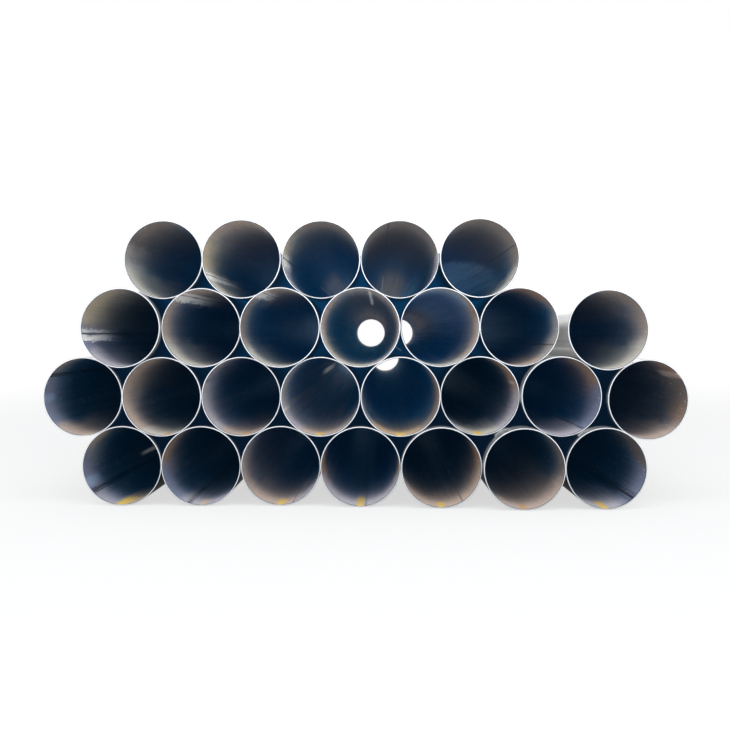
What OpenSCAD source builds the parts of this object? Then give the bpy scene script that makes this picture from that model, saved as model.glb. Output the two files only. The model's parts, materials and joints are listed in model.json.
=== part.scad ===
// A loose stack of thin-walled welded steel pipes, four rows high.
// The pipes lie along Y with their near ends towards -Y, Z is up, and the floor is at Z = 0.
// The origin is at the middle of the stack's box, on the floor.

/* [Pipe] */
// Outside diameter of a pipe
outer_d = 219.1; // [100:0.1:400]
// Wall thickness
wall = 4; // [2:0.1:12]
// Length that the pipes are cut to
pipe_length = 6000; // [1000:10:12000]
// Width of the deburred edge round each cut end
edge_break = 0.6; // [0.1:0.1:0.9]

/* [Stack] */
// Number of pipes in the bottom row
bottom_count = 7; // [3:1:7]
// How far the last pipe of the second row has rolled out from its neighbour
roll_out = 14; // [0:1:45]
// Hollows at the right-hand end of the third row that have no pipe in them
top_empty = 1; // [0:1:1]
// Running space left between two pipes that lie against each other
contact_gap = 0.3; // [0.1:0.1:2]

/* [Near ends] */
// How far each near end of the bottom row stands out, from left to right
bottom_standout = [40, 50, 50, 80, 110, 150, 140]; // [0:10:300]
// How far each near end of the second row stands out
second_standout = [30, 40, 40, 60, 70, 40, 80, 90]; // [0:10:300]
// How far each near end of the third row stands out
third_standout = [60, 40, 80, 70, 50, 40, 100]; // [0:10:300]
// How far each near end of the top row stands out
top_standout = [10, 30, 0, 0, 50, 20]; // [0:10:300]

/* [Hidden] */
$fn = 96;

outer_r = outer_d / 2;
bore_r = outer_r - wall;

// Distance between the centres of two pipes that lie against each other
seat = outer_d + contact_gap;

// Centre of the pipe that lies in the hollow between pipes a and b, with a on the left
function rest_on(a, b) =
    let (
        half = (b - a) / 2,
        reach = norm(half),
        rise = sqrt(seat * seat - reach * reach)
    )
    (a + b) / 2 + [-half.y, half.x] * rise / reach;

// Centre of the pipe that leans on the side of pipe a, offset sideways by dx
function lean_on(a, dx) = a + [dx, sqrt(seat * seat - dx * dx)];

// Centres of the pipes that fill the first n hollows of a row
function row_on(row, n) = [for (i = [0 : n - 1]) rest_on(row[i], row[i + 1])];

bottom_row = [for (i = [0 : bottom_count - 1]) [i * seat, outer_r]];
second_row = concat(
    [lean_on(bottom_row[0], -seat / 2)],
    row_on(bottom_row, bottom_count - 1),
    [lean_on(bottom_row[bottom_count - 1], seat / 2 + roll_out)]
);
third_row = row_on(second_row, len(second_row) - 1);
top_row = row_on(third_row, len(third_row) - 1 - top_empty);

// Name, centre and stand-out of every pipe in a row, numbered from the left
function named(row, name, standouts) = [
    for (i = [0 : len(row) - 1]) [str(name, "_pipe_", i + 1), row[i], standouts[i]]
];

pipes = concat(
    named(bottom_row, "bottom", bottom_standout),
    named(second_row, "second", second_standout),
    named(third_row, "third", third_standout),
    named(top_row, "top", top_standout)
);

// Middle of the stack's box, which becomes the origin
middle_x = (min([for (p = pipes) p[1].x]) + max([for (p = pipes) p[1].x])) / 2;
middle_standout = (min([for (p = pipes) p[2]]) + max([for (p = pipes) p[2]])) / 2;

// Half of the wall cut along the pipe, with both of its ends deburred
module wall_section() {
    polygon([
        [bore_r, edge_break],
        [bore_r + edge_break, 0],
        [outer_r - edge_break, 0],
        [outer_r, edge_break],
        [outer_r, pipe_length - edge_break],
        [outer_r - edge_break, pipe_length],
        [bore_r + edge_break, pipe_length],
        [bore_r, pipe_length - edge_break]
    ]);
}

// One pipe on its seat, pushed out towards -Y by its stand-out
module pipe(centre, standout) {
    color([0.2, 0.22, 0.26])
        translate([
            centre.x - middle_x,
            pipe_length / 2 + middle_standout - standout,
            centre.y
        ])
            rotate([90, 0, 0])
                rotate_extrude()
                    wall_section();
}

for (p = pipes)
    pipe(p[1], p[2]);
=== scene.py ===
"""Looks of a loose stack of welded steel pipes, seen end on."""
import json
import math
from collections import namedtuple

import bpy
import numpy as np
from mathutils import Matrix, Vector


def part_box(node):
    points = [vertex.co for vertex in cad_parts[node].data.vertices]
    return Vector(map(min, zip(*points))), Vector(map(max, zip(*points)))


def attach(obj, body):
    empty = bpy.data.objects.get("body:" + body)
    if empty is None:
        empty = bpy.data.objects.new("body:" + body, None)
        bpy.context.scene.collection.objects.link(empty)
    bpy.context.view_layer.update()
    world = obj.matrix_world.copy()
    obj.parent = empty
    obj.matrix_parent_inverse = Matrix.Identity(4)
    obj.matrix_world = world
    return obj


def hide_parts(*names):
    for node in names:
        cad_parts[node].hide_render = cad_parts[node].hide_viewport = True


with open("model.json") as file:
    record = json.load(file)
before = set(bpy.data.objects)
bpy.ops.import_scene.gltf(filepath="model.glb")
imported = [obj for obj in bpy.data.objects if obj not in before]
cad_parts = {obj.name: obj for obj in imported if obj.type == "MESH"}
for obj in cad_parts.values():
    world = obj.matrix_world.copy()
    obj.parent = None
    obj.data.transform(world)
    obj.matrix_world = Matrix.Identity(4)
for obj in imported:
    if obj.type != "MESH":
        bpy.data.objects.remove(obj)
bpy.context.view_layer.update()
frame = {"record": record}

# Sizes of a pipe, in metres. A saw cut is a little out of square, by the tilt.
BORE_R = frame["record"]["mounts"][0]["dims"]["r_mm"] / 1000
EDGE_BREAK = 0.0006
CUT_TILT = 0.0004
# From one pipe to the next the cut's tilt and the bead's waves are turned by this, in radians
PHASE_STEP = 1.7

# Surfaces of a pipe, in the order of its finishes
OUTSIDE = 0
CUT = 1
BORE = 2

# Steps of a pipe's mesh round a corner, along the pipe, round the pipe and across its weld, and half the
# angle that those across the weld span
CORNER_STEPS = 4
STATIONS = 44
TURN_STEPS = 132
WELD_STEPS = 15
WELD_HALF_TURN = math.radians(7)

# The lengthwise weld, in metres: the trimmed bead inside and the scarf outside. The bead's height waves by a
# share, at those rates in radians for each metre.
BEAD_HEIGHT = 0.0006
BEAD_HALF_WIDTH = 0.004
BEAD_WAVE = 0.35
BEAD_WAVE_RATES = (9, 23)
SCARF_DEPTH = 0.00003
SCARF_HALF_WIDTH = 0.006

# How far the weld's dark lines, dull dust and the grey film of the mouth reach into a bore, in metres
WELD_REACH = 0.5
DUST_REACH = 0.9
MOUTH_REACH = 0.09
# Share of the mouth that the grey film covers, and the shares from which a film hides the scale and dulls it
MOUTH_COVER = 0.55
FULL_COVER = 0.8
FULL_DULL = 0.75
# The dark lip of the mouth, a painted shade on its rounded corner, in metres, and where it has faded out
LIP_DARK = 0.0006
LIP_END = 0.0014
# How steeply lifted flakes stand up, and the height of the fine grain on each surface, in metres
FLAKE_SLOPE = 1.4
CUT_GRAIN = 0.0001
OUTSIDE_GRAIN = 0.0003
BORE_GRAIN = 0.0004

# Two pipes touch where they are this close, and no end is taken to stand out further than this, in metres
TOUCH = 0.004
FAR_OUT = 0.3
# Rays that look for open air, by angle from the normal, and the slope under which one ends on the floor
FAN = np.radians(np.linspace(-85, 85, 35))
LEVEL = 0.01
# How close a neighbour's middle is, in radii, and the angle to each side over which it covers the outline
BESIDE = 2.4
COVER_TURN = math.radians(50)
# Share of open air from which an outside is fully pale, partly as wear and partly as painted light, with
# painted shade where less air reaches, and how pale an end is painted that stands out from its neighbours
FULL_AIR = 0.015
END_WEAR_AND_LIGHT = 0.9
# Where that wear and painted light fades at the neighbours' ends, and the heights at which it fades low down
# into painted shade, in metres
COVER_EDGE = (0.03, -0.01)
LOW_SHADE_HEIGHTS = (0.13, 0.08)
# Heights and places along the pipes over which the gaps grow lighter, in metres
GAP_RISE = (0.2, 0.6)
GAP_DEPTH = (-3.0, -2.4)

# The camera stands in front of the near ends and looks along the pipes
CAMERA_AT = (0.0388, -6.193, 0.4659)
CAMERA_LENS = 57.76
CAMERA_SENSOR = 36.0
CAMERA_ROLL = math.radians(0.15)
FRAME_SIDE = 730
VANISHING_POINT = (376.9, 335.9)

# The stage: strength of the sky, half the floor's side, how far from the stack part of the floor's white is
# lit and which part, and the grey that the floor sends back as light
SKY = 0.65
FLOOR_HALF = 60.0
FLOOR_FAR = 4.0
FLOOR_LIT = 0.35
FLOOR_GREY = (0.18, 0.18, 0.18, 1)
# Soft rectangular lamps: where each stands and what it faces, its size in metres, and its radiance
Lamp = namedtuple("Lamp", "place target width height radiance")
LAMPS = {
    "front_wall": Lamp((0, -11.0, 4.4), (0, 0, 4.4), 16.0, 8.0, 0.2),
    "low_front": Lamp((0, -11.0, 1.5), (0, -3, 0.9), 5.0, 2.8, 4.9),
    "high_front": Lamp((0, -6.5, 5.4), (0, -3, 0.4), 8.0, 3.5, 2.0),
    "floor_card": Lamp((0, -7.5, 0.02), (0, -7.49, 5.0), 8.0, 5.0, 4.2),
    "far_wall": Lamp((0, 8.0, 1.5), (0, 3, 0.6), 6.0, 3.0, 1.4),
}

# Stray light that fills the shadows between the pipes, on worn outsides and under the lowest pipes
GAP_LIGHT = (0.0018, 0.0085, 0.0215, 1)
DEEP_GAP_LIGHT = (0.003, 0.034, 0.090, 1)
WORN_LIGHT = (0.12, 0.12, 0.115, 1)
LOW_LIGHT = (0.004, 0.002, 0.002, 1)
# Share of a colour that stray light adds inside the pipes, on marks, flaked scale and each kind of scale
MARK_LIGHT = 0.07
FLAKE_LIGHT = 0.08
SCALE_LIGHT = {"night_scale": 0.016, "navy_scale": 0.016, "slate_scale": 0.026, "blue_scale": 0.037}
# Colour that each kind of scale reflects at a glancing angle
SHEEN = {
    "night_scale": (0.11, 0.41, 0.66, 1),
    "navy_scale": (0.14, 0.54, 0.84, 1),
    "slate_scale": (0.16, 0.58, 0.90, 1),
    "blue_scale": (0.16, 0.58, 0.92, 1),
}

# Colours of the finishes, linear
COLOURS = {
    "night_scale": (0.02, 0.19, 0.38),
    "navy_scale": (0.02, 0.24, 0.50),
    "slate_scale": (0.02, 0.28, 0.56),
    "blue_scale": (0.04, 0.34, 0.62),
    "pale_scale": (0.55, 0.52, 0.50),
    "dark_scale": (0.03, 0.045, 0.07),
    "brown_scale": (0.70, 0.55, 0.46),
    "umber_film": (0.46, 0.37, 0.32),
    "soot_film": (0.28, 0.24, 0.22),
    "pale_dust": (0.86, 0.82, 0.73),
    "tan_dust": (0.84, 0.62, 0.41),
    "pink_dust": (0.78, 0.62, 0.53),
    "grey_film": (0.62, 0.58, 0.55),
    "olive_film": (0.84, 0.71, 0.51),
    "blue_film": (0.30, 0.34, 0.49),
    "lilac_film": (0.70, 0.67, 0.74),
    # A pale film, tinted blue by painted sky light
    "dust_and_sky_light": (0.42, 0.61, 0.86),
    # Painted sky light from the far ends, deep in the bores
    "painted_sky_light": (0.40, 0.72, 1.0),
    "brown_rust": (0.55, 0.36, 0.25),
    "orange_rust": (0.78, 0.42, 0.14),
    "yellow_stain": (0.95, 0.66, 0.16),
    "weld_dark": (0.008, 0.009, 0.012),
    "bare_flakes": (0.96, 0.95, 0.92),
    "bore_specks": (0.05, 0.045, 0.045),
    "bore_lines": (0.05, 0.05, 0.055),
    "bright_cut": (0.68, 0.70, 0.73),
    "dull_cut": (0.54, 0.56, 0.59),
    # Grey of the worn outside, lighter on top as painted light and darker and browner underneath as painted
    # shade
    "worn_lit_top": (0.38, 0.38, 0.38),
    "worn_shaded_under": (0.36, 0.35, 0.33),
    "outside_rust": (0.36, 0.24, 0.16),
    "outside_specks": (0.12, 0.11, 0.11),
    "bright_weld": (0.60, 0.61, 0.62),
}

# A film lies round a clock position of the bore, in degrees from the right, anticlockwise seen from the
# near end. It spreads that many degrees to each side and fades with that reach into the pipe, in metres.
Film = namedtuple("Film", "colour angle spread reach weight")
# A weld line of that width and darkness, and the width and reach of the flaked scale beside it, or 0 for none
Weld = namedtuple("Weld", "angle width dark band reach")
# A mark on the bore: its place round the bore, half its width, and where it starts and ends into the pipe, in
# metres. Its start runs deeper to one side by its lean, in metres for each metre across. It sets on over a
# share of its length.
Mark = namedtuple("Mark", "colour angle half_width start end weight lean onset", defaults=[0, 0.35])
# The scale deep inside, what lies on it, how metallic it is and how much pale streaking it has
Look = namedtuple("Look", "deep weld films marks shine streaky", defaults=[0.85, 0.1])

LOOKS = {
    "bottom_pipe_1": Look(
        "night_scale",
        Weld(221, 0.005, 0.95, 0, 0),
        [
            Film("brown_rust", 118, 50, 0.25, 0.6),
            Film("olive_film", 150, 50, 0.15, 0.75),
            Film("blue_film", 200, 75, 0.18, 0.95),
            Film("lilac_film", 250, 40, 0.22, 0.5),
            Film("tan_dust", 292, 32, 0.28, 0.8),
        ],
        [
            Mark("yellow_stain", 270, 0.020, 0, 0.17, 1.0),
            Mark("dust_and_sky_light", 205, 0.016, 0, 0.17, 0.5),
            Mark("bare_flakes", 204, 0.008, 0.72, 1.1, 0.4),
        ],
    ),
    "bottom_pipe_2": Look(
        "night_scale",
        Weld(251.5, 0.004, 0.8, 0, 0),
        [
            Film("brown_rust", 155, 65, 0.26, 0.85),
            Film("blue_film", 215, 55, 0.20, 0.95),
            Film("lilac_film", 284, 62, 0.36, 0.75),
        ],
        [Mark("tan_dust", 272, 0.012, 0, 0.12, 0.8)],
    ),
    "bottom_pipe_3": Look(
        "navy_scale",
        Weld(288.7, 0.0013, 0.7, 0, 0),
        [
            Film("brown_scale", 150, 170, 2.0, 0.42),
            Film("brown_scale", 196, 60, 0.3, 0.55),
            Film("pink_dust", 262, 65, 0.4, 0.95),
            Film("lilac_film", 328, 55, 0.38, 0.95),
        ],
        [Mark("yellow_stain", 270, 0.014, 0, 0.12, 0.9)],
    ),
    "bottom_pipe_4": Look(
        "navy_scale",
        Weld(277.5, 0.003, 0.5, 0, 0),
        [
            Film("brown_rust", 182, 55, 0.35, 0.95),
            Film("brown_rust", 2, 50, 0.35, 0.8),
            Film("lilac_film", 245, 70, 0.28, 0.95),
            Film("lilac_film", 310, 52, 0.25, 0.95),
        ],
        [Mark("yellow_stain", 270, 0.013, 0, 0.20, 1.0)],
    ),
    "bottom_pipe_5": Look(
        "night_scale",
        Weld(302, 0.0013, 0.6, 0, 0),
        [
            Film("brown_rust", 8, 65, 0.35, 0.99),
            Film("pink_dust", 247, 60, 0.36, 1.0),
            Film("pink_dust", 312, 65, 0.31, 0.99),
        ],
        [Mark("yellow_stain", 270, 0.013, 0, 0.12, 0.9)],
    ),
    "bottom_pipe_6": Look(
        "night_scale",
        Weld(120, 0.002, 0.3, 0, 0),
        [
            Film("soot_film", 20, 70, 0.3, 0.7),
            Film("pink_dust", 283, 85, 0.5, 1.0),
        ],
        [Mark("orange_rust", 270, 0.012, 0, 0.10, 0.7)],
    ),
    "bottom_pipe_7": Look(
        "night_scale",
        Weld(312, 0.008, 0.9, 0, 0),
        [
            Film("blue_film", 325, 80, 0.23, 0.95),
            Film("soot_film", 48, 60, 0.3, 1.0),
            Film("lilac_film", 258, 52, 0.36, 0.9),
        ],
        [Mark("yellow_stain", 268, 0.015, 0, 0.15, 1.0)],
    ),
    "second_pipe_1": Look(
        "night_scale",
        Weld(145, 0.005, 0.9, 0, 0),
        [
            Film("brown_rust", 110, 65, 0.24, 0.4),
            Film("blue_film", 188, 65, 0.18, 0.95),
            Film("pink_dust", 267, 56, 0.45, 1.0),
        ],
        [Mark("dust_and_sky_light", 183, 0.014, 0, 0.12, 0.35), Mark("tan_dust", 274, 0.012, 0, 0.10, 0.6)],
    ),
    "second_pipe_2": Look(
        "night_scale",
        Weld(60, 0.002, 0.3, 0, 0),
        [
            Film("brown_scale", 130, 80, 0.5, 0.95),
            Film("pink_dust", 226, 80, 0.24, 0.9),
            Film("pale_dust", 272, 45, 0.45, 0.7),
        ],
        [Mark("orange_rust", 276, 0.012, 0, 0.10, 0.8)],
    ),
    "second_pipe_3": Look(
        "navy_scale",
        Weld(156.5, 0.003, 0.5, 0, 0),
        [
            Film("brown_scale", 120, 70, 0.8, 0.5),
            Film("lilac_film", 206, 80, 0.3, 1.0),
            Film("pink_dust", 282, 55, 0.6, 0.99),
        ],
        [Mark("orange_rust", 276, 0.014, 0, 0.10, 0.8)],
    ),
    "second_pipe_4": Look(
        "slate_scale",
        Weld(62, 0.002, 0.3, 0.004, 0.3),
        [
            Film("brown_scale", 200, 170, 4.0, 0.30),
            Film("grey_film", 165, 80, 0.33, 0.62),
            Film("lilac_film", 230, 60, 0.38, 0.95),
            Film("pink_dust", 282, 55, 0.55, 1.0),
            Film("grey_film", 335, 50, 0.4, 0.9),
        ],
        [
            Mark("yellow_stain", 268, 0.012, 0, 0.12, 0.9),
            Mark("pale_dust", 200, 0.005, 0, 0.22, 0.9),
            Mark("bare_flakes", 186, 0.014, 2.3, 4.2, 0.7),
        ],
        shine=0.7,
        streaky=0.4,
    ),
    "second_pipe_5": Look(
        "slate_scale",
        Weld(120, 0.002, 0.3, 0, 0),
        [
            Film("brown_scale", 185, 50, 1.2, 0.4),
            Film("brown_rust", 15, 60, 0.35, 0.85),
            Film("umber_film", 325, 55, 0.32, 0.8),
            Film("tan_dust", 262, 60, 0.38, 0.9),
        ],
        [Mark("yellow_stain", 270, 0.016, 0, 0.10, 1.0)],
        shine=0.4,
    ),
    "second_pipe_6": Look(
        "night_scale",
        Weld(200, 0.002, 0.3, 0, 0),
        [
            Film("brown_rust", 35, 70, 0.28, 1.0),
            Film("lilac_film", 322, 60, 0.32, 0.99),
            Film("lilac_film", 245, 50, 0.35, 0.95),
            Film("pale_dust", 270, 40, 0.38, 0.95),
        ],
        [Mark("yellow_stain", 268, 0.017, 0, 0.12, 1.0), Mark("pink_dust", 18, 0.007, 0.02, 0.20, 0.9)],
    ),
    "second_pipe_7": Look(
        "navy_scale",
        Weld(304, 0.002, 0.9, 0, 0),
        [
            Film("brown_rust", 40, 80, 0.4, 0.95),
            Film("blue_film", 330, 60, 0.25, 1.0),
            Film("lilac_film", 268, 50, 0.55, 0.99),
        ],
        [],
    ),
    "second_pipe_8": Look(
        "night_scale",
        Weld(38, 0.006, 0.4, 0.004, 0.3),
        [
            Film("brown_rust", 340, 170, 1.5, 0.3),
            Film("brown_rust", 52, 50, 0.4, 0.66),
            Film("soot_film", 5, 55, 0.3, 1.0),
            Film("brown_rust", 325, 40, 0.3, 0.45),
            Film("pink_dust", 284, 46, 0.4, 0.8),
        ],
        [Mark("brown_scale", 39, 0.014, 0, 0.25, 0.8)],
    ),
    "third_pipe_1": Look(
        "night_scale",
        Weld(188.3, 0.0025, 0.9, 0.021, 0.5),
        [
            Film("brown_scale", 90, 60, 0.86, 0.7),
            Film("olive_film", 145, 70, 0.45, 1.0),
            Film("blue_film", 220, 65, 0.4, 1.0),
            Film("lilac_film", 240, 40, 0.28, 0.9),
        ],
        [],
    ),
    "third_pipe_2": Look(
        "navy_scale",
        Weld(121, 0.002, 0.6, 0.026, 0.9),
        [
            Film("pink_dust", 92, 60, 0.9, 0.99),
            Film("brown_scale", 175, 70, 0.34, 0.75),
            Film("pale_dust", 246, 58, 0.55, 1.0),
        ],
        [],
    ),
    "third_pipe_3": Look(
        "slate_scale",
        Weld(116, 0.002, 0.4, 0.022, 0.6),
        [
            Film("brown_scale", 95, 60, 0.9, 0.9),
            Film("umber_film", 178, 75, 0.3, 0.8),
            Film("pale_dust", 252, 62, 0.5, 1.0),
        ],
        [],
    ),
    "third_pipe_4": Look(
        "blue_scale",
        Weld(150, 0.002, 0.2, 0, 0),
        [
            # A painted haze of light round the far opening, all along the bore
            Film("brown_scale", 50, 170, 8.0, 0.52),
            Film("lilac_film", 320, 60, 0.32, 0.85),
            Film("pink_dust", 165, 60, 0.42, 0.88),
            Film("pink_dust", 5, 55, 0.3, 0.5),
            Film("pale_dust", 238, 80, 0.48, 1.0),
        ],
        [
            Mark("bare_flakes", 76, 0.006, 0.05, 0.9, 1.0),
            Mark("bare_flakes", 75, 0.007, 0.51, 1.7, 1.0),
            # Painted light from the far end, on the upper wall near it
            Mark("pink_dust", 75, 0.12, 1.0, 6.0, 0.8, onset=0.7),
        ],
        shine=0.4,
        streaky=0.2,
    ),
    "third_pipe_5": Look(
        "slate_scale",
        Weld(230, 0.002, 0.3, 0, 0),
        [
            # A pale film deep along the upper wall, tinted by painted sky light
            Film("dust_and_sky_light", 65, 100, 2.4, 0.9),
            Film("grey_film", 70, 90, 0.25, 0.6),
            Film("brown_rust", 15, 50, 0.35, 0.88),
            Film("pink_dust", 325, 65, 0.45, 1.0),
            Film("pale_dust", 275, 45, 0.45, 0.9),
        ],
        [
            # Painted sky light deep in the bore
            Mark("painted_sky_light", 60, 0.11, 0.51, 3.0, 0.35),
            # Painted light from the far end, on the upper wall near it
            Mark("pink_dust", 50, 0.10, 1.2, 6.0, 0.75, onset=0.7),
        ],
        shine=0.4,
        streaky=0.15,
    ),
    "third_pipe_6": Look(
        "navy_scale",
        Weld(332, 0.002, 0.9, 0, 0),
        [
            Film("brown_rust", 78, 72, 0.45, 0.75),
            Film("grey_film", 345, 50, 0.22, 0.6),
            Film("grey_film", 310, 52, 0.34, 0.95),
            Film("pink_dust", 268, 58, 0.5, 1.0),
        ],
        # Painted sky light from the far end, deep in the bore
        [Mark("painted_sky_light", 10, 0.12, 0.6, 6.0, 0.4)],
    ),
    "third_pipe_7": Look(
        "navy_scale",
        Weld(200, 0.002, 0.3, 0, 0),
        [
            Film("brown_scale", 80, 80, 1.4, 0.7),
            Film("umber_film", 45, 50, 0.8, 0.5),
            Film("brown_scale", 0, 60, 0.5, 0.6),
            Film("pale_dust", 302, 58, 0.62, 0.95),
        ],
        [],
    ),
    "top_pipe_1": Look(
        "slate_scale",
        Weld(40, 0.002, 0.3, 0, 0),
        [
            Film("soot_film", 132, 80, 0.7, 0.95),
            Film("umber_film", 95, 65, 1.0, 0.6),
            Film("grey_film", 182, 45, 0.4, 0.65),
            Film("pale_dust", 230, 60, 0.75, 1.0),
        ],
        [],
    ),
    "top_pipe_2": Look(
        "slate_scale",
        Weld(203, 0.002, 0.6, 0.015, 0.9),
        [
            Film("brown_scale", 90, 110, 1.6, 0.75),
            Film("olive_film", 174, 50, 0.4, 0.95),
            Film("pale_dust", 232, 52, 0.6, 1.0),
        ],
        # Painted sky light from the far end, deep in the bore
        [Mark("painted_sky_light", 150, 0.12, 0.9, 6.0, 0.3)],
    ),
    "top_pipe_3": Look(
        "blue_scale",
        Weld(177, 0.002, 0.7, 0.026, 0.4),
        [
            Film("umber_film", 85, 115, 0.9, 0.85),
            Film("olive_film", 168, 45, 0.36, 0.85),
            Film("lilac_film", 212, 40, 0.35, 0.8),
        ],
        # The lilac mark deep in the bore is painted light from the far end
        [Mark("lilac_film", 140, 0.06, 2.1, 5.0, 0.9), Mark("bare_flakes", 172, 0.002, 1.9, 3.4, 0.5)],
    ),
    "top_pipe_4": Look(
        "blue_scale",
        Weld(107, 0.0012, 0.7, 0, 0),
        [
            Film("umber_film", 92, 125, 2.2, 0.85),
            Film("umber_film", 10, 60, 0.5, 0.8),
            Film("lilac_film", 335, 40, 0.5, 0.9),
        ],
        [
            # Painted sky light from the far end, deep in the bore
            Mark("painted_sky_light", 352, 0.07, 0.8, 6.0, 0.7),
            # Painted light from the far end, on the upper wall near it
            Mark("pink_dust", 75, 0.09, 2.0, 6.0, 0.9),
            Mark("bare_flakes", 106, 0.003, 2.5, 5.4, 0.9),
        ],
    ),
    "top_pipe_5": Look(
        "blue_scale",
        Weld(20, 0.0012, 0.9, 0, 0),
        [
            Film("umber_film", 70, 115, 1.9, 0.85),
            Film("umber_film", 345, 50, 0.35, 0.7),
            Film("pale_dust", 312, 46, 0.5, 0.9),
        ],
        # Painted sky light from the far end, with a shadow edge that leans across the wall
        [Mark("painted_sky_light", 40, 0.12, 1.27, 6.0, 0.65, lean=8.6, onset=0.05)],
    ),
}


class Socket:
    """One output of a shader node. Sums and products of sockets and numbers add Math nodes."""

    def __init__(self, tree, output):
        self.tree = tree
        self.output = output

    def node(self, kind, settings, inputs, output=0):
        """Adds a node of that type, sets its settings, then sets or links its inputs by name or number."""
        made = self.tree.nodes.new(kind)
        for name, value in settings.items():
            setattr(made, name, value)
        for key, value in inputs.items():
            if isinstance(value, Socket):
                self.tree.links.new(value.output, made.inputs[key])
            else:
                made.inputs[key].default_value = value
        return Socket(self.tree, made.outputs[output])

    def math(self, operation, *values):
        """Adds a Math node that works on those values."""
        return self.node("ShaderNodeMath", {"operation": operation}, dict(enumerate(values)))

    def __add__(self, other):
        return self.math("ADD", self, other)

    __radd__ = __add__

    def __sub__(self, other):
        return self.math("SUBTRACT", self, other)

    def __rsub__(self, other):
        return self.math("SUBTRACT", other, self)

    def __mul__(self, other):
        return self.math("MULTIPLY", self, other)

    __rmul__ = __mul__

    def step(self, low, high):
        """Rises smoothly from 0 at low to 1 at high, or falls where low is the greater."""
        inputs = {"Value": self, "From Min": low, "From Max": high}
        return self.node("ShaderNodeMapRange", {"interpolation_type": "SMOOTHSTEP"}, inputs)

    def fading(self, reach):
        """Falls exponentially from 1 at nothing, to a part in e at the reach."""
        return self.math("POWER", math.exp(-1 / reach), self)

    def either(self, other):
        """Share that this or the other share covers, where they lie without regard to each other."""
        return 1 - (1 - self) * (1 - other)

    def over(self, top, under):
        """Lays one colour over another, with this socket as the share of the top one."""
        inputs = {0: self, 6: under, 7: top}
        return self.node("ShaderNodeMix", {"data_type": "RGBA"}, inputs, 2)

    def dimmed(self, share):
        """That share of a colour, over black."""
        inputs = {0: share, 6: (0, 0, 0, 1), 7: self}
        return self.node("ShaderNodeMix", {"data_type": "RGBA"}, inputs, 2)

    def stretched(self, x, y, z):
        """Scales a place along each axis, so that noise on it is finer along that axis."""
        return self.node("ShaderNodeVectorMath", {"operation": "MULTIPLY"}, {0: self, 1: (x, y, z)})

    def along(self, x, y, z):
        """How far a point lies along that direction."""
        inputs = {0: self, 1: (x, y, z)}
        return self.node("ShaderNodeVectorMath", {"operation": "DOT_PRODUCT"}, inputs, "Value")

    def noise(self, detail=4.0):
        """Cloudy noise from 0 to 1, with features one unit across."""
        return self.node("ShaderNodeTexNoise", {}, {"Vector": self, "Scale": 1.0, "Detail": detail})

    def carried(self, name):
        """A value that the mesh carries on its points."""
        return self.node("ShaderNodeAttribute", {"attribute_name": name}, {}, "Fac")


def colour(name):
    """A named colour, opaque."""
    return (*COLOURS[name], 1.0)


def new_finish(name):
    """A material with one Principled shader. Gives the material, the shader and the Object coordinates."""
    material = bpy.data.materials.new(name)
    material.use_nodes = True
    material.cycles.emission_sampling = "NONE"
    tree = material.node_tree
    shader = tree.nodes["Principled BSDF"]
    place = Socket(tree, tree.nodes.new("ShaderNodeTexCoord").outputs["Object"])
    return material, shader, place


def feed(shader, name, value):
    """Links a value to one input of a shader."""
    value.tree.links.new(value.output, shader.inputs[name])


def roughen(shader, height, normal=None):
    """Turns a height in metres into a bump on the surface, or on the normal that is given."""
    inputs = {"Height": height, "Distance": 1.0, "Strength": 1.0}
    if normal:
        inputs["Normal"] = normal
    feed(shader, "Normal", height.node("ShaderNodeBump", {}, inputs))


def cut_finish():
    """Bare steel of a sawn end: bright, with fine saw marks, dull patches and a dark inner edge of painted
    shade.
    """
    material, shader, place = new_finish("sawn_end")
    marks = place.stretched(900, 20, 60).noise(2.0)
    dull = place.stretched(60, 60, 60).noise(3.0).step(0.45, 0.75)
    # Painted shade on the inner part of the cut face, which keeps the bright ring thin
    inner_shade = place.carried("inner_edge").step(0.54, 0.70)
    bright = (dull * 0.5).over(colour("dull_cut"), colour("bright_cut"))
    feed(shader, "Base Color", inner_shade.over(colour("dark_scale"), bright))
    feed(shader, "Roughness", 0.3 + 0.25 * marks)
    shader.inputs["Metallic"].default_value = 0.35
    roughen(shader, marks * CUT_GRAIN)
    return material


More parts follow.
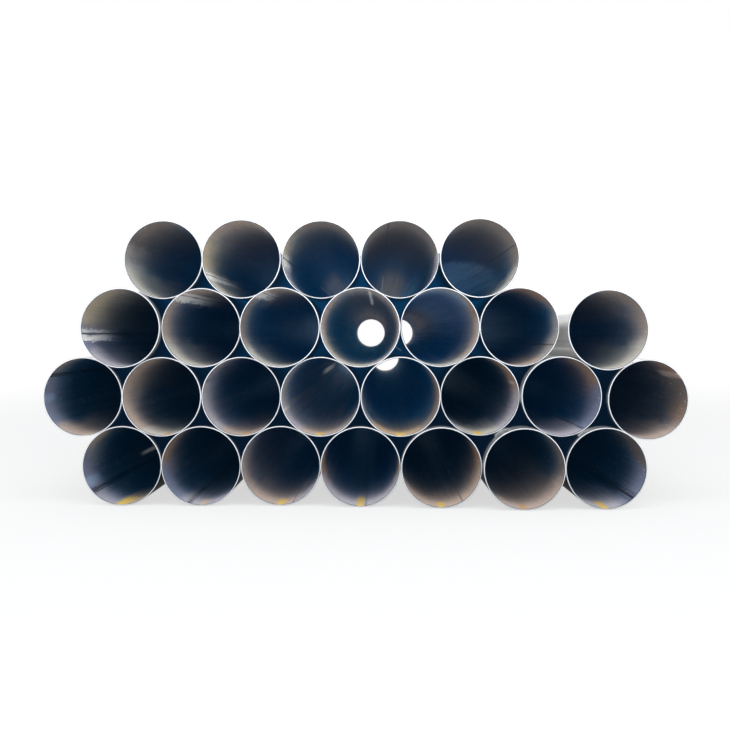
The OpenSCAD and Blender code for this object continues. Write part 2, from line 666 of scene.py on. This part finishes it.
def outside_finish():
    """Outside of a pipe: dark scale in closed gaps as painted shade, grey varnished steel in the open, partly
    as wear and partly as painted light, and a weld line.

    An end that stands out from its neighbours is painted pale too, as wear and painted light, except low
    down, where painted shade keeps the dark scale. The grey is lighter facing up, as painted light. A weak
    glow stands in for stray light.
    """
    material, shader, place = new_finish("mill_scale_outside")
    streaks = place.stretched(70, 1.5, 70).noise(5.0)
    clouds = place.stretched(9, 2, 9).noise(4.0)
    specks = place.stretched(260, 120, 260).noise(2.0)
    up = place.along(0, 0, 1)
    # Painted shade low down: near the floor the pale wear and light fade out and the dark scale stays
    low = up.step(*LOW_SHADE_HEIGHTS)
    # Ends that stand out from their neighbours are painted pale, partly as wear and partly as painted light
    lit_standing_end = END_WEAR_AND_LIGHT * place.carried("past_cover").step(*COVER_EDGE) * (1 - low)
    # Pale where the air reaches, partly wear and partly painted light; dark scale in the closed gaps as
    # painted shade
    worn_and_lit = place.carried("open_air").step(0, FULL_AIR).either(lit_standing_end) * (0.7 + 0.3 * streaks)
    # Facing up the grey is lighter, as painted light, and facing down darker, as painted shade
    lit_from_above = place.node("ShaderNodeNewGeometry", {}, {}, "Normal").along(0, 0, 1).step(-0.7, 0.6)
    shade = worn_and_lit.over(lit_from_above.over(colour("worn_lit_top"), colour("worn_shaded_under")), colour("dark_scale"))
    rust = clouds.step(0.55, 0.8) * streaks.step(0.4, 0.7) * 0.3
    shade = rust.over(colour("outside_rust"), shade)
    shade = (specks.step(0.62, 0.72) * 0.3).over(colour("outside_specks"), shade)
    shade = (place.carried("weld_line") * worn_and_lit).over(colour("bright_weld"), shade)
    deep = place.along(0, 1, 0).step(*GAP_DEPTH)
    glow = (up.step(*GAP_RISE) * deep).over(DEEP_GAP_LIGHT, GAP_LIGHT)
    glow = worn_and_lit.over(WORN_LIGHT, low.over(LOW_LIGHT, glow))
    feed(shader, "Base Color", shade)
    feed(shader, "Roughness", 0.30 + 0.2 * clouds)
    feed(shader, "Metallic", 1 - worn_and_lit)
    feed(shader, "Emission Color", glow)
    feed(shader, "Coat Weight", worn_and_lit)
    shader.inputs["Coat Roughness"].default_value = 0.15
    shader.inputs["Specular IOR Level"].default_value = 0.5
    shader.inputs["Specular Tint"].default_value = (0.1, 0.1, 0.12, 1)
    shader.inputs["Emission Strength"].default_value = 1.0
    roughen(shader, (streaks * 0.6 + specks * 0.4) * OUTSIDE_GRAIN)
    return material


def laid_at(point, angle, edge):
    """Distance across from a clock position of the bore, and a share that is 1 on that side of the pipe.

    The share falls to 0 at the pipe's middle, over that part of its radius.
    """
    turn = math.radians(angle)
    across = point.along(-math.sin(turn), 0, math.cos(turn))
    front = point.along(math.cos(turn), 0, math.sin(turn)).step(0, BORE_R * edge)
    return across, front


def film_share(point, depth, wobble, film):
    """Share of a film: a smooth patch round its clock position that fades exponentially into the pipe."""
    turn = math.radians(film.angle)
    facing = point.along(math.cos(turn) / BORE_R, 0, math.sin(turn) / BORE_R) + wobble
    return facing.step(math.cos(math.radians(film.spread)), 1.0) * depth.fading(film.reach) * film.weight


def weld_line(point, depth, weld):
    """Share of the weld's dark lines: a core that wanders a little, and broken lines beside it.

    They fade exponentially into the pipe.
    """
    across, front = laid_at(point, weld.angle, edge=0.3)
    wander = across + (point.stretched(240, 12, 240).noise(3.0) - 0.5) * weld.width
    off = wander.math("ABSOLUTE", wander)
    core = off.step(weld.width * 0.5, weld.width * 0.2)
    broken = point.stretched(500, 5, 500).noise(3.0).step(0.42, 0.56)
    beside = off.step(weld.width * 2.4, weld.width) * broken
    return core.math("MAXIMUM", core, beside) * front * depth.fading(WELD_REACH) * weld.dark


def weld_flakes(point, depth, weld):
    """Share of flaked scale: a ragged band on one side of the weld and a narrow one on the other.

    They thin out with depth.
    """
    across, front = laid_at(point, weld.angle, edge=0.3)
    edge = across * (1 / weld.band) + (point.stretched(170, 40, 170).noise(4.0) - 0.5) * 1.6
    patchy = point.stretched(90, 6, 90).noise(3.0).step(0.25, 0.5)
    wide = across.step(weld.width * 0.4, weld.width * 0.6) * edge.step(1.1, 0.85)
    narrow = across.step(-weld.width * 0.4, -weld.width * 0.8) * edge.step(-0.7, -0.4)
    return (wide + narrow * 0.6) * front * patchy * depth.step(weld.reach, 0)


def tilted(point, inward, middle, share):
    """Surface normal of flakes that stand up towards the nearer mouth, for that share of the surface."""
    normal = point.node("ShaderNodeNewGeometry", {}, {}, "Normal")
    towards = inward.math("GREATER_THAN", inward, middle) * 2 - 1
    lean = point.node("ShaderNodeCombineXYZ", {}, {"Y": towards * share * FLAKE_SLOPE})
    return point.node("ShaderNodeVectorMath", {"operation": "ADD"}, {0: normal, 1: lean})


def mark_share(point, inward, streaks, mark):
    """Share of a mark: a streaky blot of its width, from its start to its end, that fades at its edges."""
    length = mark.end - mark.start
    across, front = laid_at(point, mark.angle, edge=0.5)
    ragged = point.stretched(110, 2.5 / length, 110).noise(4.0) - 0.5
    along = (inward - mark.start - across * mark.lean) * (1 / length) + ragged * 0.12
    width = across.math("ABSOLUTE", across) * (1 / mark.half_width) + ragged * 0.8
    begun = 1.0 if mark.start == 0 else along.step(-0.03, mark.onset)
    blot = width.step(1.2, 0.3) * along.step(1.1, 0.6) * begun
    return blot * front * streaks.step(0.1, 0.55) * mark.weight


def bore_finish(name, look, middle, near, far):
    """Inside of a pipe: blue-black mill scale under films from the mouths, its weld and its marks.

    The scale is metallic, and what lies on it is dull. Some films and marks deep in the bore are painted
    light from the far end, and some are painted sky light. A weak glow of the same colours stands in for
    stray light.
    """
    material, shader, place = new_finish("bore_of_" + name)
    start = (-middle[0], -near, -middle[1])
    point = place.node("ShaderNodeMapping", {}, {"Vector": place, "Location": start})
    inward = point.along(0, 1, 0)
    depth = inward.math("MINIMUM", inward, (far - near) - inward)
    streaks = point.stretched(95, 0.5, 95).noise(6.0)
    clouds = point.stretched(14, 3, 14).noise(4.0)
    specks = point.stretched(330, 90, 330).noise(2.0)
    lines = point.stretched(230, 1.2, 230).noise(3.0).step(0.4, 0.7)
    dots = point.stretched(260, 80, 260).noise(0.0).step(0.80, 0.84)

    # The scale, and the dust and rust that lie on it
    shade = (streaks.step(0.48, 0.72) * look.streaky).over(colour("pale_scale"), colour(look.deep))
    dusty = depth.fading(MOUTH_REACH) * MOUTH_COVER
    shade = dusty.step(0, FULL_COVER).over(colour("grey_film"), shade)
    wobble = (clouds - 0.5) * 0.5
    for film in look.films:
        share = film_share(point, depth, wobble, film) * (0.8 + 0.4 * streaks)
        shade = share.step(0, FULL_COVER).over(colour(film.colour), shade)
        dusty = share.either(dusty)
    shade = (specks.step(0.60, 0.70) * 0.3).over(colour("bore_specks"), shade)
    shade = (lines * 0.08).over(colour("bore_lines"), shade)
    shade = dots.over(colour("bare_flakes"), shade)

    # The weld, the flaked scale beside it, and the dark lip, a painted shade
    lifted = depth * 0
    if look.weld.band:
        lifted = weld_flakes(point, depth, look.weld)
        shade = lifted.over(colour("bare_flakes"), shade)
        dusty = lifted.either(dusty)
    shade = weld_line(point, depth, look.weld).over(colour("weld_dark"), shade)
    shade = depth.step(LIP_END, LIP_DARK).over(colour("dark_scale"), shade)
    dusty = (dusty * depth.fading(DUST_REACH)).step(0, FULL_DULL)

    # The marks, and the glow
    glow = shade.dimmed(SCALE_LIGHT[look.deep])
    for mark in look.marks:
        share = mark_share(point, inward, streaks, mark)
        shade = share.over(colour(mark.colour), shade)
        glow = (share * MARK_LIGHT).over(colour(mark.colour), glow)
        dusty = share.either(dusty)
        if mark.colour == "bare_flakes":
            lifted = lifted + share
    glow = (lifted * FLAKE_LIGHT).over(colour("bare_flakes"), glow)

    feed(shader, "Base Color", shade)
    feed(shader, "Emission Color", glow)
    feed(shader, "Roughness", 0.88 - 0.55 * look.shine + 0.12 * clouds + 0.2 * dusty)
    feed(shader, "Metallic", look.shine * (1 - dusty))
    shader.inputs["Specular IOR Level"].default_value = 0.05
    shader.inputs["Specular Tint"].default_value = SHEEN[look.deep]
    shader.inputs["Emission Strength"].default_value = 1.0
    height = (streaks * 0.5 + specks * 0.5) * BORE_GRAIN
    roughen(shader, height, tilted(point, inward, (far - near) / 2, lifted))
    return material


def turns():
    """Angles round a pipe from its weld line: fine steps across the weld and even steps round the rest."""
    fine = np.linspace(-WELD_HALF_TURN, WELD_HALF_TURN, WELD_STEPS)
    even = np.linspace(WELD_HALF_TURN, 2 * np.pi - WELD_HALF_TURN, TURN_STEPS)
    return np.concatenate([fine, even[1:-1]])


def off_weld(angle, radius):
    """Distance from the weld line along the wall, to either side."""
    return np.where(angle > np.pi, angle - 2 * np.pi, angle) * radius


def scarf_share(angle, outer_r):
    """Share of the scarf's depth at each angle: a flat-topped bell curve across the weld."""
    return np.exp(-((off_weld(angle, outer_r) / SCARF_HALF_WIDTH) ** 4))


def wall_profile(outer_r, length):
    """Cut through the wall as a closed line, as radius, distance from the near end, and surface of each step.

    The line runs along the outside to the far end, round two quarter-round corners, back along the bore and
    round two more. Stations lie close together near the ends, at half the length times one less the cosine of
    an even angle.
    """
    even = np.linspace(0, np.pi, STATIONS)
    along = EDGE_BREAK + (length / 2 - EDGE_BREAK) * (1 - np.cos(even))
    quarter = np.linspace(0, np.pi / 2, CORNER_STEPS + 1)

    def corner(radius, distance, start):
        turn = start + quarter
        return radius + EDGE_BREAK * np.cos(turn), distance + EDGE_BREAK * np.sin(turn)

    high = outer_r - EDGE_BREAK
    low = BORE_R + EDGE_BREAK
    far = length - EDGE_BREAK
    lines = [
        (np.full(STATIONS - 2, outer_r), along[1:-1]),
        corner(high, far, 0),
        corner(low, far, np.pi / 2),
        (np.full(STATIONS - 2, BORE_R), along[-2:0:-1]),
        corner(low, EDGE_BREAK, np.pi),
        corner(high, EDGE_BREAK, 3 * np.pi / 2),
    ]
    radius = np.concatenate([line[0] for line in lines])
    distance = np.concatenate([line[1] for line in lines])
    centre = (radius + np.roll(radius, -1)) / 2
    surface = np.full(len(radius), CUT)
    surface[centre > high] = OUTSIDE
    surface[centre < low] = BORE
    return radius, distance, surface


def pipe_points(radius, distance, angle, weld_turn, outer_r, phase):
    """Wall profile carried round the axis, as an array of points by profile step and angle.

    The radius on the bore is less the weld bead, a bell curve across the weld with a wavy height along the
    pipe. The radius on the outside is less the scarf, a shallow bell curve. The distance has the tilt of the
    saw cut at each end.
    """
    on_bore = np.isclose(radius, BORE_R)[:, None]
    on_outside = np.isclose(radius, outer_r)[:, None]
    slow, quick = BEAD_WAVE_RATES
    wave = 1 + BEAD_WAVE * np.sin(distance * slow + phase) * np.sin(distance * quick + 2 * phase)
    bead = BEAD_HEIGHT * wave[:, None] * np.exp(-((off_weld(angle, BORE_R) / BEAD_HALF_WIDTH) ** 2))
    scarf = SCARF_DEPTH * scarf_share(angle, outer_r)
    reach = radius[:, None] - on_bore * bead - on_outside * scarf
    length = distance.max()
    tilt = CUT_TILT * np.sin(angle + phase)
    out = distance[:, None] + tilt * np.cos(np.pi * distance / length)[:, None]
    turn = weld_turn + angle
    return np.stack([reach * np.cos(turn), out, reach * np.sin(turn)], axis=-1)


def open_air(middles, outer_r, turn, own):
    """Share of the open directions that the air reaches round one pipe, by rays in the stack's cross-section.

    Rays fan out from each point of the pipe's outline over the half plane that it faces, weighted by their
    cosine. A ray is stopped by another pipe that it passes closer to than that pipe's radius, or by the
    floor. Each stretch of outline between two contacts takes the share of its most open point, and it falls
    to nothing at the contacts.
    """
    normal = np.stack([np.cos(turn), np.sin(turn)], axis=-1)
    start = middles[own] + outer_r * normal
    heading = turn[:, None] + FAN
    ray = np.stack([np.cos(heading), np.sin(heading)], axis=-1)
    others = np.delete(middles, own, axis=0)
    to_other = others[None, :, :] - start[:, None, :]
    ahead = np.einsum("akd,apd->akp", ray, to_other)
    gap = (to_other ** 2).sum(-1)[:, None, :] - ahead ** 2
    stopped = ((ahead > 0) & (gap < outer_r ** 2)).any(-1)
    stopped |= ray[..., 1] < LEVEL
    air = (~stopped * np.cos(FAN)).sum(1) / np.cos(FAN).sum()
    clear = np.minimum(np.sqrt((to_other ** 2).sum(-1)).min(1) - outer_r, start[:, 1])
    touching = clear < TOUCH
    stretch = np.cumsum(touching & ~np.roll(touching, 1))
    # The last stretch runs on into the first
    stretch[stretch == stretch[-1]] = 0
    most = np.zeros(stretch.max() + 1)
    np.maximum.at(most, stretch, air * ~touching)
    return most[stretch] * np.clip((clear - TOUCH) / (2 * TOUCH), 0, 1)


def stand_out(middles, nears, outer_r, turn, own):
    """How far one pipe's near end stands out from the pipes that lie over each point of its outline.

    A neighbour lies over a point where the way to the neighbour's middle is within a certain angle of the
    point's normal. Of those the one that stands out the most counts. Where none lies over it, the point is
    taken as far out.
    """
    away = np.delete(middles, own, axis=0) - middles[own]
    beside = np.hypot(*away.T) < BESIDE * outer_r
    heading = np.arctan2(away[beside, 1], away[beside, 0])
    over = np.cos(turn[:, None] - heading) > math.cos(COVER_TURN)
    cover = np.where(over, np.delete(nears, own)[beside], np.inf).min(1)
    return np.clip(cover - nears[own], 0, FAR_OUT)


def closed_grid(points):
    """Quads of a grid of points that closes on itself both ways, wound so that they face out."""
    rows, columns = points.shape[:2]
    index = np.arange(rows * columns).reshape(rows, columns)
    below = np.roll(index, -1, axis=0)
    quads = np.stack([index, below, np.roll(below, -1, axis=1), np.roll(index, -1, axis=1)], axis=-1)
    return quads.reshape(-1, 4)


def make_pipe(node, middles, nears, own, shared):
    """One pipe in place of its solid: the wall carried round the axis, with its outside, cut ends and bore.

    Its points carry the open air, the distance past the cover of its neighbours, the weld line and the share
    of the way to the inner edge, for the finishes.
    """
    low, high = (np.array(corner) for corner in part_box(node))
    outer_r = (high[0] - low[0]) / 2
    look = LOOKS[node]
    weld_turn = math.radians(look.weld.angle)
    angle = turns()
    turn = weld_turn + angle
    radius, distance, surface = wall_profile(outer_r, high[1] - low[1])
    points = pipe_points(radius, distance, angle, weld_turn, outer_r, phase=own * PHASE_STEP)
    points = points + np.array([middles[own][0], low[1], middles[own][1]])
    quads = closed_grid(points)
    mesh = bpy.data.meshes.new(node + "_wall")
    mesh.from_pydata(points.reshape(-1, 3), [], quads.tolist())
    mesh.polygons.foreach_set("material_index", np.repeat(surface, len(angle)).astype(np.int32))
    mesh.polygons.foreach_set("use_smooth", np.ones(len(quads), bool))
    carried = {
        "open_air": open_air(middles, outer_r, turn, own),
        "past_cover": distance[:, None] - stand_out(middles, nears, outer_r, turn, own),
        "weld_line": scarf_share(angle, outer_r),
        "inner_edge": (outer_r - radius)[:, None] / (outer_r - BORE_R),
    }
    for name, values in carried.items():
        values = np.broadcast_to(values, (len(radius), len(angle)))
        layer = mesh.attributes.new(name, "FLOAT", "POINT")
        layer.data.foreach_set("value", values.ravel().astype(np.float32))
    for material in (*shared, bore_finish(node, look, middles[own], low[1], high[1])):
        mesh.materials.append(material)
    mesh.update()
    piece = bpy.data.objects.new(node + "_wall", mesh)
    bpy.context.scene.collection.objects.link(piece)
    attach(piece, "root")
    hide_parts(node)


def make_stack():
    """All the pipes, each in place of its solid."""
    nodes = list(LOOKS)
    boxes = [np.array(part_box(node)) for node in nodes]
    middles = np.array([(box[0] + box[1])[[0, 2]] / 2 for box in boxes])
    nears = np.array([box[0][1] for box in boxes])
    shared = (outside_finish(), cut_finish())
    for own, node in enumerate(nodes):
        make_pipe(node, middles, nears, own, shared)


def seen_ray(tree):
    """1 for a ray from the camera, a reflection or a clear surface, and 0 for one that gathers light."""
    path = tree.nodes.new("ShaderNodeLightPath")
    camera, glossy, through = (
        Socket(tree, path.outputs[name]) for name in ("Is Camera Ray", "Is Glossy Ray", "Is Transmission Ray")
    )
    return camera.math("MAXIMUM", camera, camera.math("MAXIMUM", glossy, through))


def make_world():
    """White all round where it is seen, and an even sky where it only gives light."""
    world = bpy.data.worlds.new("studio")
    bpy.context.scene.world = world
    world.use_nodes = True
    tree = world.node_tree
    light = tree.nodes["Background"]
    light.inputs["Color"].default_value = (0.93, 0.97, 1.0, 1)
    light.inputs["Strength"].default_value = SKY
    seen = seen_ray(tree)
    white = seen.node("ShaderNodeBackground", {}, {"Color": (1, 1, 1, 1), "Strength": 1.0})
    both = seen.node("ShaderNodeMixShader", {}, {0: seen, 1: Socket(tree, light.outputs[0]), 2: white})
    tree.links.new(both.output, tree.nodes["World Output"].inputs["Surface"])


def make_floor():
    """Pale level floor that glows white where it is seen. Part of it is lit near the stack, for shadow."""
    mesh = bpy.data.meshes.new("floor")
    side = FLOOR_HALF
    corners = [(-side, -side, 0), (side, -side, 0), (side, side, 0), (-side, side, 0)]
    mesh.from_pydata(corners, [], [(0, 1, 2, 3)])
    material = bpy.data.materials.new("pale_floor")
    material.use_nodes = True
    tree = material.node_tree
    tree.nodes.remove(tree.nodes["Principled BSDF"])
    place = Socket(tree, tree.nodes.new("ShaderNodeTexCoord").outputs["Object"])
    flattened = place.stretched(1, 0.4, 1)
    away = place.node("ShaderNodeVectorMath", {"operation": "LENGTH"}, {0: flattened}, "Value")
    near = away.step(FLOOR_FAR, 1.0) * FLOOR_LIT
    seen = seen_ray(tree)
    glow = seen.node("ShaderNodeEmission", {}, {"Color": (1, 1, 1, 1), "Strength": 1.0})
    lit = seen.node("ShaderNodeBsdfDiffuse", {}, {"Color": (0.95, 0.95, 0.95, 1)})
    grey = seen.node("ShaderNodeBsdfDiffuse", {}, {"Color": FLOOR_GREY})
    white = seen.node("ShaderNodeMixShader", {}, {0: near, 1: glow, 2: lit})
    both = seen.node("ShaderNodeMixShader", {}, {0: seen, 1: grey, 2: white})
    tree.links.new(both.output, tree.nodes["Material Output"].inputs["Surface"])
    mesh.materials.append(material)
    floor = bpy.data.objects.new("floor", mesh)
    bpy.context.scene.collection.objects.link(floor)


def make_lamp(name, lamp):
    """Soft rectangular lamp that faces its target. Its power is its radiance times its area times pi."""
    light = bpy.data.lights.new(name, "AREA")
    light.shape = "RECTANGLE"
    light.size = lamp.width
    light.size_y = lamp.height
    light.energy = lamp.radiance * lamp.width * lamp.height * math.pi
    made = bpy.data.objects.new(name, light)
    heading = np.array(lamp.target) - np.array(lamp.place)
    flat = math.hypot(heading[0], heading[1])
    made.location = lamp.place
    made.rotation_euler = (math.atan2(flat, -heading[2]), 0, math.atan2(-heading[0], heading[1]))
    made.visible_camera = False
    bpy.context.scene.collection.objects.link(made)


def make_camera():
    """Camera level with the stack. Its frame is shifted, so that the vanishing point falls in place."""
    data = bpy.data.cameras.new("camera")
    data.lens = CAMERA_LENS
    data.sensor_width = CAMERA_SENSOR
    data.shift_x = (FRAME_SIDE / 2 - VANISHING_POINT[0]) / FRAME_SIDE
    data.shift_y = (VANISHING_POINT[1] - FRAME_SIDE / 2) / FRAME_SIDE
    data.clip_end = 200
    camera = bpy.data.objects.new("camera", data)
    camera.location = CAMERA_AT
    camera.rotation_euler = (math.pi / 2, CAMERA_ROLL, 0)
    bpy.context.scene.collection.objects.link(camera)
    bpy.context.scene.camera = camera


make_camera()
make_stack()
make_floor()
make_world()
for lamp_name, lamp_values in LAMPS.items():
    make_lamp(lamp_name, lamp_values)
bpy.context.scene.view_settings.view_transform = "Standard"
